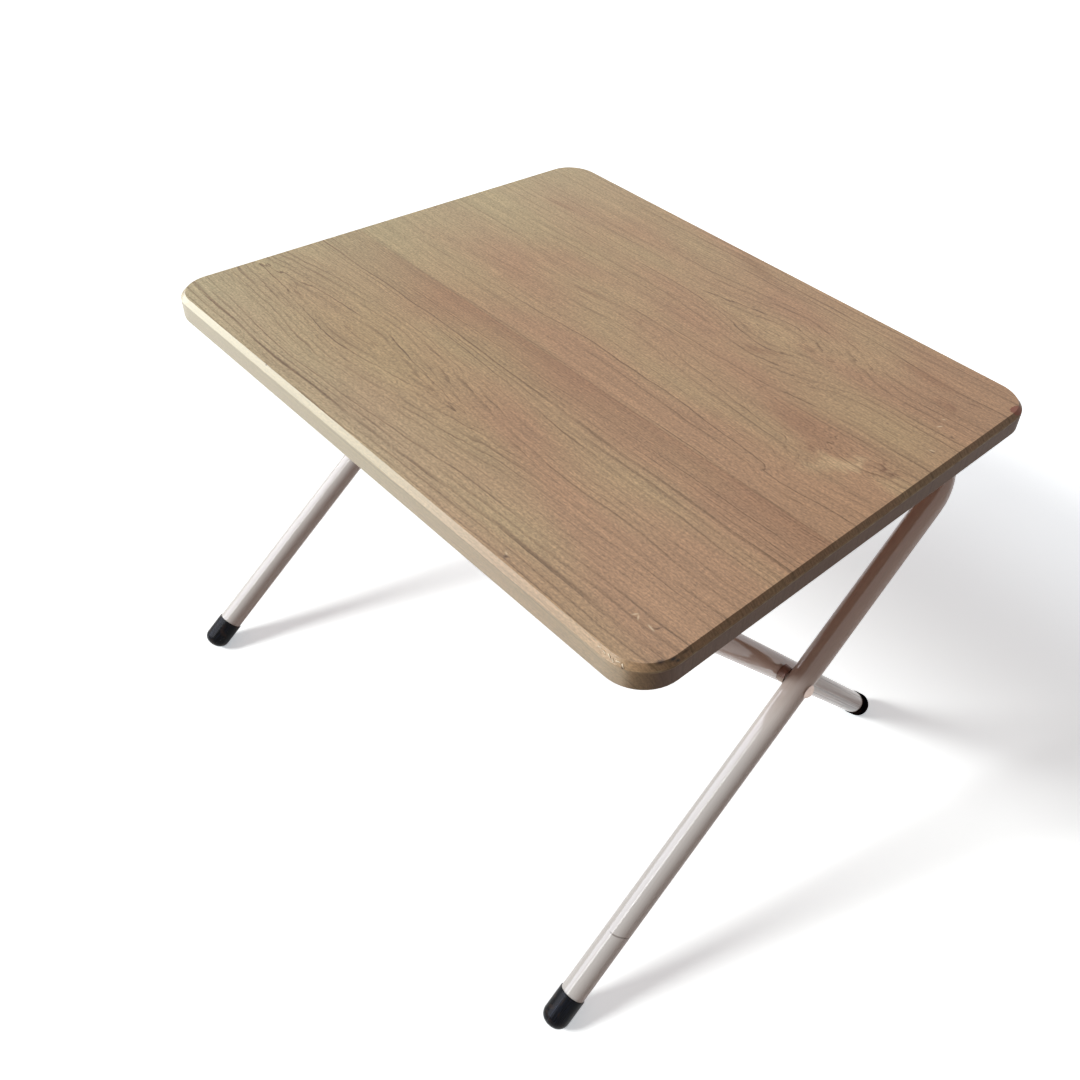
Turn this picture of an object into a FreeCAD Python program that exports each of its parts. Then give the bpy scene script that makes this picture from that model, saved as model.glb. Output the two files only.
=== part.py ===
import FreeCAD, Part
import math
import os
from FreeCAD import Vector

# Folding low table: a foil-wrapped board on two bent tube frames that cross in an X.
# Lengths are millimetres and angles are degrees. +Z is up, X runs along the long edge, and the
# front is at -Y. The model is laid out about the middle of the board and is moved at the end, so
# that the origin is on the floor under the middle of the whole table.

# Board
board_width = 500.0
board_depth = 400.0
board_thickness = 18.0
top_height = 350.0
corner_radius = 28.0
edge_bevel = 3.5
bevel_ridge_round = 0.8
lower_edge_round = 1.5
foil_thickness = 0.4
backing_thickness = 0.5

# Leg frames
tube_diameter = 19.0
tube_wall = 1.0
bend_radius = 52.0
outer_frame_span = 466.0
spacer_length = 6.0

# Where the frames cross and where their crossbars lie, from the middle of the board
pivot_y = -12.0
pivot_height = 188.5
hinge_bar_y = 152.0
catch_bar_y = -132.0
bar_to_board_clearance = 0.3

# Foot caps
cap_diameter = 20.4
cap_head_length = 25.5
cap_end_round = 7.5
cap_contact_wear = 0.3
cap_stem_length = 20.0
cap_stem_diameter = 13.0
cap_rib_count = 3
cap_rib_width = 1.6
cap_fit_clearance = 0.05

# Pivot rivets, with the bush between the frames and the washer inside the inner leg
rivet_diameter = 6.0
rivet_head_diameter = 11.0
rivet_head_height = 2.8
rivet_tail_diameter = 9.5
rivet_tail_height = 2.0
spacer_diameter = 13.0
washer_diameter = 13.0
washer_thickness = 1.0
rivet_hole_clearance = 0.05
pivot_side_clearance = 0.15

# Hinge straps round the outer crossbar
strap_thickness = 1.5
strap_width = 16.0
strap_flange_length = 14.0
strap_bend_round = 1.4
strap_end_round = 4.0
strap_bar_clearance = 0.1
strap_spacing = 220.0

# Catch clips on the inner crossbar
clip_wall = 2.2
clip_width = 16.0
clip_bar_clearance = 0.3
clip_mouth_angle = 100.0
clip_lip_radius = 1.5
clip_tab_width = 30.0
clip_tab_length = 13.0
clip_tab_thickness = 3.0
clip_tab_round = 3.0
clip_spacing = 220.0
clip_screw_spacing = 18.0

# Wood screws, the same size for the straps and the clips
screw_head_diameter = 7.0
screw_head_height = 2.2
screw_head_round = 1.0
screw_shank_diameter = 3.5
screw_length = 12.0
screw_point_length = 3.0
screw_recess_length = 4.0
screw_recess_width = 1.0
screw_recess_depth = 1.2
screw_hole_clearance = 0.05

# One overrun for every cut that passes through a face, and how close counts as the same place
overrun = 1.0
same_place = 0.001

underside = top_height - board_thickness
tube_radius = tube_diameter / 2
bore_radius = tube_radius - tube_wall
cap_radius = cap_diameter / 2

hinge_bar_height = underside - bar_to_board_clearance - tube_radius
clip_inner_radius = tube_radius + clip_bar_clearance
clip_outer_radius = clip_inner_radius + clip_wall
catch_bar_height = underside - clip_outer_radius

outer_half_span = outer_frame_span / 2
inner_half_span = outer_half_span - tube_diameter - spacer_length


def point(x, y, z):
    return Vector(x, y, z)


X_AXIS = Vector(1, 0, 0)
Y_AXIS = Vector(0, 1, 0)
Z_AXIS = Vector(0, 0, 1)
ORIGIN = Vector(0, 0, 0)


def leg_line(bar_y, bar_height):
    """The side view of one leg frame: its crossbar, its direction down the leg, and its foot."""
    bar = point(0, bar_y, bar_height)
    down = (point(0, pivot_y, pivot_height) - bar).normalize()
    # The round shoulder of the cap's end is what meets the floor.
    rim_radius = cap_radius - cap_end_round
    rim_drop = rim_radius * abs(down.y) + cap_end_round * (1 + down.z)
    end_height = rim_drop - cap_contact_wear
    cap_end = bar + down * ((end_height - bar_height) / down.z)
    tube_end = cap_end - down * cap_head_length
    return bar, down, cap_end, tube_end


outer_bar, outer_down, outer_cap_end, outer_tube_end = leg_line(hinge_bar_y, hinge_bar_height)
inner_bar, inner_down, inner_cap_end, inner_tube_end = leg_line(catch_bar_y, catch_bar_height)

# The front toes reach past the board, so the middle of the whole table isn't the board's middle.
front_toe_y = (outer_cap_end.y - outer_down.y * cap_end_round
               - (cap_radius - cap_end_round) * abs(outer_down.z) - cap_end_round)
table_shift = -(front_toe_y + board_depth / 2) / 2


def rounded_board(inset, bottom, bevel, lower_round):
    """A board with rounded corners, bevelled above and rounded below, drawn in by the inset."""
    width = board_width - 2 * inset
    depth = board_depth - 2 * inset
    top = top_height - inset
    board = Part.makeBox(width, depth, top - bottom, point(-width / 2, -depth / 2, bottom))
    board = board.makeFillet(corner_radius - inset, upright_edges(board))
    board = board.makeChamfer(bevel, rim_edges(board, top))
    board = board.makeFillet(bevel_ridge_round - inset, rim_edges(board, top - bevel))
    if lower_round:
        board = board.makeFillet(lower_round, rim_edges(board, bottom))
    return board


def rim_edges(solid, height):
    """The edges that lie flat at one height."""
    return [edge for edge in solid.Edges if abs(edge.BoundBox.ZMin - height) < same_place
            and abs(edge.BoundBox.ZMax - height) < same_place]


def upright_edges(solid):
    return [edge for edge in solid.Edges if edge.BoundBox.XMax - edge.BoundBox.XMin < same_place
            and edge.BoundBox.YMax - edge.BoundBox.YMin < same_place]


def drill(solid, centres, direction, radius, length):
    for centre in centres:
        solid = solid.cut(Part.makeCylinder(radius, length, centre, direction))
    return solid


def make_board():
    """The core, the foil wrapped over its top and sides, and the backing paper below."""
    whole = rounded_board(0, underside, edge_bevel, lower_edge_round)
    # A foil of even thickness narrows a 45 degree bevel a little.
    core_bevel = edge_bevel - foil_thickness * (2 - math.sqrt(2))
    within_foil = rounded_board(foil_thickness, underside - overrun, core_bevel, 0)
    foil = whole.cut(within_foil)
    unwrapped = whole.common(within_foil)
    sheet = Part.makeBox(board_width, board_depth, backing_thickness,
                         point(-board_width / 2, -board_depth / 2, underside))
    backing = unwrapped.common(sheet)
    core = unwrapped.cut(sheet)
    hole_radius = screw_shank_diameter / 2 + screw_hole_clearance
    for place, hole_depth in screw_places():
        start = point(place.x, place.y, underside - overrun)
        core = drill(core, [start], Z_AXIS, hole_radius, hole_depth + overrun)
        backing = drill(backing, [start], Z_AXIS, hole_radius, hole_depth + overrun)
    return core, foil, backing


def bent_leg(side, half_span, bar, down, tube_end):
    """One leg's centre line: its lower end, the start, middle and end of its bend."""
    outward = X_AXIS * side
    bend_end = bar + outward * (half_span - bend_radius)
    bend_centre = bend_end + down * bend_radius
    bend_start = bend_centre + outward * bend_radius
    bend_middle = bend_centre + (outward - down) * (bend_radius / math.sqrt(2))
    return tube_end + outward * half_span, bend_start, bend_middle, bend_end


def bent_frame(half_span, bar, down, tube_end):
    """One tube bent to a U: up one leg, round a bend, along the crossbar and down the other leg."""
    right_end, right_low, right_middle, right_bar = bent_leg(1, half_span, bar, down, tube_end)
    left_end, left_low, left_middle, left_bar = bent_leg(-1, half_span, bar, down, tube_end)
    path = Part.Wire([Part.LineSegment(right_end, right_low).toShape(),
                      Part.Arc(right_low, right_middle, right_bar).toShape(),
                      Part.LineSegment(right_bar, left_bar).toShape(),
                      Part.Arc(left_bar, left_middle, left_low).toShape(),
                      Part.LineSegment(left_low, left_end).toShape()])
    rim = Part.Wire(Part.Circle(right_end, down, tube_radius).toShape())
    bore = Part.Wire(Part.Circle(right_end, down, bore_radius).toShape())
    frame = path.makePipe(Part.Face(rim)).cut(path.makePipe(Part.Face(bore)))
    pivot_start = point(-half_span - tube_diameter, pivot_y, pivot_height)
    pivot_hole_radius = rivet_diameter / 2 + rivet_hole_clearance
    return drill(frame, [pivot_start], X_AXIS, pivot_hole_radius, 2 * (half_span + tube_diameter))


def revolved(outline, place, direction):
    """Turns an outline of (radius, distance) points and arcs about its own axis."""
    edges = []
    for first, middle, last in outline:
        start = point(first[0], 0, first[1])
        end = point(last[0], 0, last[1])
        if middle:
            edges.append(Part.Arc(start, point(middle[0], 0, middle[1]), end).toShape())
        else:
            edges.append(Part.LineSegment(start, end).toShape())
    solid = Part.Face(Part.Wire(edges)).revolve(ORIGIN, Z_AXIS, 360)
    turn = FreeCAD.Rotation(Z_AXIS, direction)
    solid.Placement = FreeCAD.Placement(place, turn)
    return solid


def chain(points):
    """Closes a list of (radius, distance) corners, each with the middle point of an arc that follows."""
    outline = []
    for index, (corner, arc_middle) in enumerate(points):
        next_corner = points[(index + 1) % len(points)][0]
        outline.append((corner, arc_middle, next_corner))
    return outline


def foot_cap(x, cap_end, down):
    """A round-ended moulded cap with a ribbed stem that is pushed up into the leg."""
    shoulder = cap_head_length
    stem_radius = cap_stem_diameter / 2
    rib_radius = bore_radius - cap_fit_clearance
    stem_end = shoulder + cap_stem_length
    rib_pitch = cap_stem_length / cap_rib_count
    round_middle = cap_end_round * (1 - math.sqrt(0.5))
    corners = [((0, 0), None),
               ((cap_radius - cap_end_round, 0), (cap_radius - round_middle, round_middle)),
               ((cap_radius, cap_end_round), None),
               ((cap_radius, shoulder), None),
               ((stem_radius, shoulder), None)]
    for index in range(cap_rib_count):
        low = shoulder + rib_pitch * (index + 1) - cap_rib_width
        corners.append(((stem_radius, low), None))
        corners.append(((rib_radius, low), None))
        corners.append(((rib_radius, low + cap_rib_width), None))
        if index < cap_rib_count - 1:
            corners.append(((stem_radius, low + cap_rib_width), None))
    corners.append(((0, stem_end), None))
    cap = revolved(chain(corners), point(x, cap_end.y, cap_end.z), down * -1)
    below_floor = Part.makeBox(2 * cap_diameter, 2 * cap_diameter, cap_diameter,
                               point(x - cap_diameter, cap_end.y - cap_diameter, -cap_diameter))
    return cap.cut(below_floor)


def pivot_pieces(side):
    """The rivet through both legs, the bush between them and the washer at the inner end."""
    outward = X_AXIS * side
    outer_face = outer_half_span + tube_radius
    inner_face = inner_half_span - tube_radius
    shank_radius = rivet_diameter / 2
    head_radius = rivet_head_diameter / 2
    tail_radius = rivet_tail_diameter / 2
    head_seat = outer_face + rivet_hole_clearance
    washer_seat = inner_face - pivot_side_clearance
    tail_seat = washer_seat - washer_thickness
    tail_end = tail_seat - rivet_tail_height
    # The head is a part of a ball that is as high and as wide as the two named sizes say.
    ball_radius = (head_radius ** 2 + rivet_head_height ** 2) / (2 * rivet_head_height)
    half_turn = math.asin(head_radius / ball_radius) / 2
    ball_centre = head_seat + rivet_head_height - ball_radius
    dome_middle = (ball_radius * math.sin(half_turn), ball_centre + ball_radius * math.cos(half_turn))
    corners = [((0, tail_end), None),
               ((tail_radius, tail_end), None),
               ((tail_radius, tail_seat), None),
               ((shank_radius, tail_seat), None),
               ((shank_radius, head_seat), None),
               ((head_radius, head_seat), dome_middle),
               ((0, head_seat + rivet_head_height), None)]
    rivet = revolved(chain(corners), point(0, pivot_y, pivot_height), outward)
    hole_radius = shank_radius + rivet_hole_clearance
    spacer_start = inner_half_span + tube_radius + pivot_side_clearance
    bush_length = spacer_length - 2 * pivot_side_clearance
    spacer = ring(spacer_start, bush_length, spacer_diameter / 2, hole_radius, outward)
    washer = ring(tail_seat, washer_thickness, washer_diameter / 2, hole_radius, outward)
    return rivet, spacer, washer


def ring(start, length, outer_radius, hole_radius, outward):
    place = point(0, pivot_y, pivot_height) + outward * start
    solid = Part.makeCylinder(outer_radius, length, place, outward)
    hole = Part.makeCylinder(hole_radius, length + 2 * overrun, place - outward * overrun, outward)
    return solid.cut(hole)


def strap_screw_reach():
    """How far from the bar's middle each strap screw stands."""
    strap_outer_radius = tube_radius + strap_bar_clearance + strap_thickness
    return strap_outer_radius + strap_flange_length / 2


def clip_screw_reach():
    return clip_outer_radius + clip_tab_length / 2


def screw_places():
    """Each screw's place on the underside, with the depth of its hole in the board."""
    places = []
    for side in (-1, 1):
        for step in (-1, 1):
            places.append((point(side * strap_spacing / 2, hinge_bar_y + step * strap_screw_reach(),
                                 underside - strap_thickness), screw_length - strap_thickness))
    for side in (-1, 1):
        for step in (-1, 1):
            places.append((point(side * clip_spacing / 2 + step * clip_screw_spacing / 2,
                                 catch_bar_y + clip_screw_reach(), underside - clip_tab_thickness),
                           screw_length - clip_tab_thickness))
    return places


def wood_screw(seat):
    """A pan head screw with a cross recess and a point, driven up into the board."""
    head_radius = screw_head_diameter / 2
    shank_radius = screw_shank_diameter / 2
    round_middle = screw_head_round * (1 - math.sqrt(0.5))
    corners = [((0, -screw_head_height), None),
               ((head_radius - screw_head_round, -screw_head_height),
                (head_radius - round_middle, round_middle - screw_head_height)),
               ((head_radius, screw_head_round - screw_head_height), None),
               ((head_radius, 0), None),
               ((shank_radius, 0), None),
               ((shank_radius, screw_length - screw_point_length), None),
               ((0, screw_length), None)]
    screw = revolved(chain(corners), seat, Z_AXIS)
    for long_x, long_y in ((1, 0), (0, 1)):
        size_x = screw_recess_length if long_x else screw_recess_width
        size_y = screw_recess_length if long_y else screw_recess_width
        corner = point(seat.x - size_x / 2, seat.y - size_y / 2, seat.z - screw_head_height - overrun)
        slot = Part.makeBox(size_x, size_y, screw_recess_depth + overrun, corner)
        screw = screw.cut(slot)
    return screw


def hinge_strap(x):
    """A strip bent round the outer crossbar, with a flange in front and one behind."""
    inner_radius = tube_radius + strap_bar_clearance
    outer_radius = inner_radius + strap_thickness
    half_length = outer_radius + strap_flange_length
    left = x - strap_width / 2
    rise = underside - hinge_bar_height
    centre = point(left, hinge_bar_y, hinge_bar_height)
    shell = Part.makeCylinder(outer_radius, strap_width, centre, X_AXIS)
    walls = Part.makeBox(strap_width, 2 * outer_radius, rise,
                         point(left, hinge_bar_y - outer_radius, centre.z))
    flange = Part.makeBox(strap_width, 2 * half_length, strap_thickness,
                          point(left, hinge_bar_y - half_length, underside - strap_thickness))
    strap = shell.fuse([walls, flange])
    way = Part.makeCylinder(inner_radius, strap_width + 2 * overrun, centre - X_AXIS * overrun, X_AXIS)
    way_up = Part.makeBox(strap_width + 2 * overrun, 2 * inner_radius, 2 * outer_radius,
                          point(left - overrun, hinge_bar_y - inner_radius, centre.z))
    strap = strap.cut(way.fuse(way_up)).removeSplitter()
    roots = [edge for edge in strap.Edges
             if abs(edge.BoundBox.ZMin - underside + strap_thickness) < same_place
             and abs(abs(edge.BoundBox.YMin - hinge_bar_y) - outer_radius) < same_place
             and abs(edge.BoundBox.YMax - edge.BoundBox.YMin) < same_place]
    strap = strap.makeFillet(strap_bend_round, roots)
    ends = [edge for edge in upright_edges(strap)
            if abs(abs(edge.BoundBox.YMin - hinge_bar_y) - half_length) < same_place]
    strap = strap.makeFillet(strap_end_round, ends)
    hole_radius = screw_shank_diameter / 2 + screw_hole_clearance
    centres = [point(x, hinge_bar_y + step * strap_screw_reach(), underside - strap_thickness - overrun)
               for step in (-1, 1)]
    return drill(strap, centres, Z_AXIS, hole_radius, strap_thickness + 2 * overrun)


def catch_clip(x):
    """A moulded clip: two jaws round the inner crossbar, open below, on a tab with two screws."""
    left = x - clip_width / 2
    centre = point(left, catch_bar_y, catch_bar_height)
    jaws = Part.makeCylinder(clip_outer_radius, clip_width, centre, X_AXIS)
    saddle = Part.makeBox(clip_width, 2 * clip_outer_radius, clip_tab_thickness,
                          point(left, catch_bar_y - clip_outer_radius, underside - clip_tab_thickness))
    tab_start = catch_bar_y + clip_outer_radius - clip_wall
    tab_length = clip_tab_length + clip_wall
    tab = Part.makeBox(clip_tab_width, tab_length, clip_tab_thickness,
                       point(x - clip_tab_width / 2, tab_start, underside - clip_tab_thickness))
    tab = tab.makeFillet(clip_tab_round, upright_edges(tab))
    clip = jaws.fuse([saddle, tab])
    seat = Part.makeCylinder(clip_inner_radius, clip_width + 2 * overrun, centre - X_AXIS * overrun, X_AXIS)
    half_mouth = math.radians(clip_mouth_angle / 2)
    reach = 2 * clip_outer_radius
    mouth_corners = [point(left - overrun, catch_bar_y, catch_bar_height),
                     point(left - overrun, catch_bar_y - reach * math.sin(half_mouth),
                           catch_bar_height - reach * math.cos(half_mouth)),
                     point(left - overrun, catch_bar_y, catch_bar_height - reach),
                     point(left - overrun, catch_bar_y + reach * math.sin(half_mouth),
                           catch_bar_height - reach * math.cos(half_mouth))]
    mouth = Part.Face(Part.makePolygon(mouth_corners + mouth_corners[:1]))
    clip = clip.cut(seat.fuse(mouth.extrude(X_AXIS * (clip_width + 2 * overrun))))
    lip_distance = clip_inner_radius + clip_lip_radius
    for step in (-1, 1):
        lip_centre = point(left, catch_bar_y + step * lip_distance * math.sin(half_mouth),
                           catch_bar_height - lip_distance * math.cos(half_mouth))
        clip = clip.fuse(Part.makeCylinder(clip_lip_radius, clip_width, lip_centre, X_AXIS))
    clip = clip.removeSplitter()
    hole_radius = screw_shank_diameter / 2 + screw_hole_clearance
    centres = [point(x + step * clip_screw_spacing / 2, catch_bar_y + clip_screw_reach(),
                     underside - clip_tab_thickness - overrun) for step in (-1, 1)]
    return drill(clip, centres, Z_AXIS, hole_radius, clip_tab_thickness + 2 * overrun)


def build():
    nodes = {}
    core, foil, backing = make_board()
    nodes["board_core"] = core
    nodes["board_foil"] = foil
    nodes["board_backing"] = backing
    nodes["outer_frame"] = bent_frame(outer_half_span, outer_bar, outer_down, outer_tube_end)
    nodes["inner_frame"] = bent_frame(inner_half_span, inner_bar, inner_down, inner_tube_end)
    screws = [wood_screw(place) for place, hole_depth in screw_places()]
    strap_screw_count = len(screws) // 2
    nodes["strap_screws"] = Part.makeCompound(screws[:strap_screw_count])
    nodes["clip_screws"] = Part.makeCompound(screws[strap_screw_count:])
    for name, side in (("left", -1), ("right", 1)):
        nodes["hinge_strap_" + name] = hinge_strap(side * strap_spacing / 2)
        nodes["catch_clip_" + name] = catch_clip(side * clip_spacing / 2)
        nodes["foot_cap_front_" + name] = foot_cap(side * outer_half_span, outer_cap_end, outer_down)
        nodes["foot_cap_back_" + name] = foot_cap(side * inner_half_span, inner_cap_end, inner_down)
        rivet, spacer, washer = pivot_pieces(side)
        nodes["pivot_rivet_" + name] = rivet
        nodes["pivot_spacer_" + name] = spacer
        nodes["pivot_washer_" + name] = washer
    return nodes


os.makedirs("parts", exist_ok=True)
for node_name, node_shape in build().items():
    node_shape.translate(Y_AXIS * table_shift)
    node_shape.exportStep("parts/" + node_name + ".step")
    print(node_name, len(node_shape.Solids), "solids", round(node_shape.Volume), "mm3")
print("board middle is at y", round(table_shift, 4))
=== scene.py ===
# %% [markdown]
# A folding low table, finished around its fixed model. The table is a board wrapped in printed
# wood foil, carried by two bent steel tubes that cross in an X. The exact model gives every
# solid its place, so this lesson spends its time on finishes: foil, paint, rubber, zinc and nylon.

# %% Load the frame
import math

import bmesh
import bpy
from mathutils import Matrix, Vector


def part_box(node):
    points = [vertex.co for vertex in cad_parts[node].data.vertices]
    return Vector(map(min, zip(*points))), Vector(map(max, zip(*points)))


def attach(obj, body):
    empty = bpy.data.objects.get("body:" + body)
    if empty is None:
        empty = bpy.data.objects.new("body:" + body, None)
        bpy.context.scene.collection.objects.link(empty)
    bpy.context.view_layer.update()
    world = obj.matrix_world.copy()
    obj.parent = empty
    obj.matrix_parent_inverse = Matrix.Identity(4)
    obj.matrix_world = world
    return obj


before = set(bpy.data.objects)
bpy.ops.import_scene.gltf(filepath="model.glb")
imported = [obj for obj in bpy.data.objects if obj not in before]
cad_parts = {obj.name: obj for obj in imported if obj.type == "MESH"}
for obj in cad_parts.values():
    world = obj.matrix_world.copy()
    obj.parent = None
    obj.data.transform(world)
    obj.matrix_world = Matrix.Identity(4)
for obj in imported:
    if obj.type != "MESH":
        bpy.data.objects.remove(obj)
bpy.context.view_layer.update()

# %% [markdown]
# Sizes are metres, as in Blender, but the patterns of wood and paint are easier to judge in
# millimetres. Every place is taken from the model's own nodes, so nothing is fitted by eye.

# %% Places that the finishes need
MM = 0.001
foil_low, foil_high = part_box("board_foil")
board_middle = (foil_low + foil_high) / 2
board_top = foil_high.z
print("board middle", round(board_middle.y, 5), "top", round(board_top, 4))

# %% [markdown]
# Colours are written as the sRGB hex values that a paint chart would give. Blender mixes light
# in linear values, so one function turns a hex value into a linear colour.

# %% One function for colours
def linear(hex_colour):
    """A linear RGBA colour from an sRGB hex value such as #AD937A."""
    channels = [int(hex_colour[i:i + 2], 16) / 255 for i in (1, 3, 5)]
    return [c / 12.92 if c <= 0.04045 else ((c + 0.055) / 1.055) ** 2.4 for c in channels] + [1.0]


print("a middle grey, #808080, is", round(linear("#808080")[0], 3), "in linear light")

# %% [markdown]
# A finish is a small network of nodes. One helper adds any node with its settings and links: a
# node or socket given as an input is linked, and anything else is set as its value. The other
# helpers are the few steps that many finishes share: a tint laid over a colour, a thin line, and
# a plain finish whose colour wanders between two close tones, as no real surface is quite even.

# %% Helpers for nodes and finishes
def add(tree, kind, inputs=None, **settings):
    """Adds one node to a tree, with its settings and with its inputs set or linked. The kind is the
    type's name without ShaderNode. A node given as an input stands for its first output."""
    node = tree.nodes.new("ShaderNode" + kind)
    for name, value in settings.items():
        setattr(node, name, value)
    for socket, value in (inputs or {}).items():
        if isinstance(value, bpy.types.Node):
            value = value.outputs[0]
        if isinstance(value, bpy.types.NodeSocket):
            tree.links.new(value, node.inputs[socket])
        else:
            node.inputs[socket].default_value = value
    return node


def new_finish(name):
    """An empty material and its node tree."""
    material = bpy.data.materials.new(name)
    material.use_nodes = True
    material.node_tree.nodes.clear()
    return material, material.node_tree


def both(name):
    """The names of the left and the right node of a pair."""
    return name + "_left", name + "_right"


def dress(material, *names):
    """Gives one finish to some of the model's nodes."""
    for name in names:
        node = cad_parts[name]
        node.data.materials.clear()
        node.data.materials.append(material)


def tinted_in(tree, colour, share, tint, strength):
    """Mixes a tint into a colour where a share from 0 to 1 says so."""
    part = add(tree, "Math", {0: share, 1: strength}, operation="MULTIPLY")
    return add(tree, "Mix", {"Factor": part, "A": colour, "B": linear(tint)},
               data_type="RGBA").outputs["Result"]


def line_at(tree, value, place, faint, full):
    """1 where a value is close to a place, fading to 0 between the full and the faint distance."""
    off = add(tree, "Math", {0: value, 1: place}, operation="SUBTRACT")
    off = add(tree, "Math", {0: off}, operation="ABSOLUTE")
    return add(tree, "MapRange", {"Value": off, "From Min": faint, "From Max": full})


def mottled_finish(name, dark, light, noise, relief=None, **sockets):
    """A finish between two close tones. A relief is a bump's strength and its depth in mm."""
    material, tree = new_finish(name)
    spot = add(tree, "TexCoord").outputs["Object"]
    mottle = add(tree, "TexNoise", {"Vector": spot, **noise}).outputs["Fac"]
    tone = add(tree, "Mix", {"Factor": mottle, "A": linear(dark), "B": linear(light)},
               data_type="RGBA").outputs["Result"]
    if relief:
        bump = {"Strength": relief[0], "Distance": relief[1] * MM, "Height": mottle}
        sockets["Normal"] = add(tree, "Bump", bump)
    shader = add(tree, "BsdfPrincipled", {"Base Color": tone, **sockets})
    add(tree, "OutputMaterial", {"Surface": shader})
    return material


print(len(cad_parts), "nodes of the model to dress")

# %% [markdown]
# The camera stands to the right of the front edge and looks down across the top. Its place and
# lens were worked out from the edges of the board and the legs, so the drawing lines up.

# %% The camera
FRAME_PIXELS = 1080
FOCAL_PIXELS = 1082.06
OPTICAL_CENTRE_PIXELS = (671.39, 493.44)
SENSOR_MM = 36.0
CAMERA_ROLL = 0.11826
camera_place = Vector((0.48131, board_middle.y - 0.47119, 0.77282))
camera_target = Vector((0.04470, board_middle.y + 0.04845, 0.21000))

camera_data = bpy.data.cameras.new("camera")
camera_data.sensor_width = SENSOR_MM
camera_data.lens = FOCAL_PIXELS / FRAME_PIXELS * SENSOR_MM
camera_data.shift_x = (FRAME_PIXELS / 2 - OPTICAL_CENTRE_PIXELS[0]) / FRAME_PIXELS
camera_data.shift_y = (OPTICAL_CENTRE_PIXELS[1] - FRAME_PIXELS / 2) / FRAME_PIXELS
camera = bpy.data.objects.new("camera", camera_data)
bpy.context.scene.collection.objects.link(camera)
forward = (camera_target - camera_place).normalized()
level_right = forward.cross(Vector((0, 0, 1))).normalized()
level_up = level_right.cross(forward)
right = level_right * math.cos(CAMERA_ROLL) + level_up * math.sin(CAMERA_ROLL)
up = level_up * math.cos(CAMERA_ROLL) - level_right * math.sin(CAMERA_ROLL)
turn = Matrix((right, up, -forward)).transposed()
camera.matrix_world = Matrix.Translation(camera_place) @ turn.to_4x4()
bpy.context.scene.camera = camera
print("lens", round(camera_data.lens, 2), "mm")

# %% [markdown]
# The floor is a plain pale sheet. Seen by the camera and in reflections it is over-exposed, as a
# studio's backdrop is: a little brighter than white paper, so that it only turns grey where the
# table takes the window's light away. It glows a little by itself, which keeps the shadows pale,
# and a touch bluely, which cancels the board's warm light in them. Behind the table it glows more,
# like a cove that has its own lamps. To rays that spread it is a warm middle grey, so that it
# doesn't throw more light up at the legs than a room's floor would.

# %% The floor
def seen_directly(tree):
    """1 for what the camera sees, also by a mirror or a lens, and 0 for light that spreads."""
    ray = add(tree, "LightPath").outputs
    seen = ray["Is Camera Ray"]
    for other in ("Is Glossy Ray", "Is Transmission Ray"):
        seen = add(tree, "Math", {0: seen, 1: ray[other]}, operation="MAXIMUM")
    return seen


FLOOR_SIZE = 14.0
OVER_EXPOSED = 1.36
FLOOR_GLOW = 0.46
COVE_GLOW = 0.72
COVE_STARTS = board_middle.y + 0.25
COVE_IS_FULL = board_middle.y + 0.60
bpy.ops.object.select_all(action="DESELECT")
bpy.ops.mesh.primitive_plane_add(size=FLOOR_SIZE, location=(0, 0, 0))
floor = bpy.context.object
floor.name = "floor"
floor_finish, tree = new_finish("pale_floor")
seen = seen_directly(tree)
floor_colour = add(tree, "Mix", {"Factor": seen, "A": linear("#B4978A"),
                                 "B": [OVER_EXPOSED] * 3 + [1.0]}, data_type="RGBA")
matt = add(tree, "BsdfDiffuse", {"Color": floor_colour.outputs["Result"]})
floor_spot = add(tree, "TexCoord").outputs["Object"]
backward = add(tree, "SeparateXYZ", {0: floor_spot}).outputs["Y"]
cove = add(tree, "MapRange", {"Value": backward, "From Min": COVE_STARTS, "From Max": COVE_IS_FULL,
                              "To Min": FLOOR_GLOW, "To Max": COVE_GLOW},
           interpolation_type="SMOOTHSTEP")
lift = add(tree, "Math", {0: seen, 1: cove}, operation="MULTIPLY")
glow = add(tree, "Emission", {"Color": linear("#EEF8FF"), "Strength": lift})
lit_sheet = add(tree, "AddShader", {0: matt, 1: glow})
add(tree, "OutputMaterial", {"Surface": lit_sheet})
floor.data.materials.append(floor_finish)
print("floor", FLOOR_SIZE, "m square")

# %% [markdown]
# The room's light is low and soft. A large window stands far off in front and to the left: it
# throws the legs' long shadows and leaves the right edge dark, and from so far its light is as
# strong on the floor behind the table as in front. A pale ceiling light fills the top, and the
# world adds an even glow. What gloss paint mirrors is something else: a broad white cloth with a
# bright post at its right, which show in reflections alone.

# %% The lights
def soft_panel(name, size, azimuth, elevation, distance, strength, colour):
    """A rectangular lamp that faces the middle of the table. Its light on a facing surface is
    the strength times what a white sheet needs to look white."""
    toward = Vector((math.cos(math.radians(azimuth)) * math.cos(math.radians(elevation)),
                     math.sin(math.radians(azimuth)) * math.cos(math.radians(elevation)),
                     math.sin(math.radians(elevation))))
    lamp = bpy.data.lights.new(name, "AREA")
    lamp.shape = "RECTANGLE"
    lamp.size, lamp.size_y = size
    # A panel of P watts and area A gives an irradiance of P / (pi * distance squared) far away.
    lamp.energy = strength * math.pi * math.pi * distance ** 2
    lamp.color = linear(colour)[:3]
    holder = bpy.data.objects.new(name, lamp)
    holder.location = board_middle + toward * distance
    holder.rotation_euler = toward.to_track_quat("Z", "Y").to_euler()
    bpy.context.scene.collection.objects.link(holder)
    return holder


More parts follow.
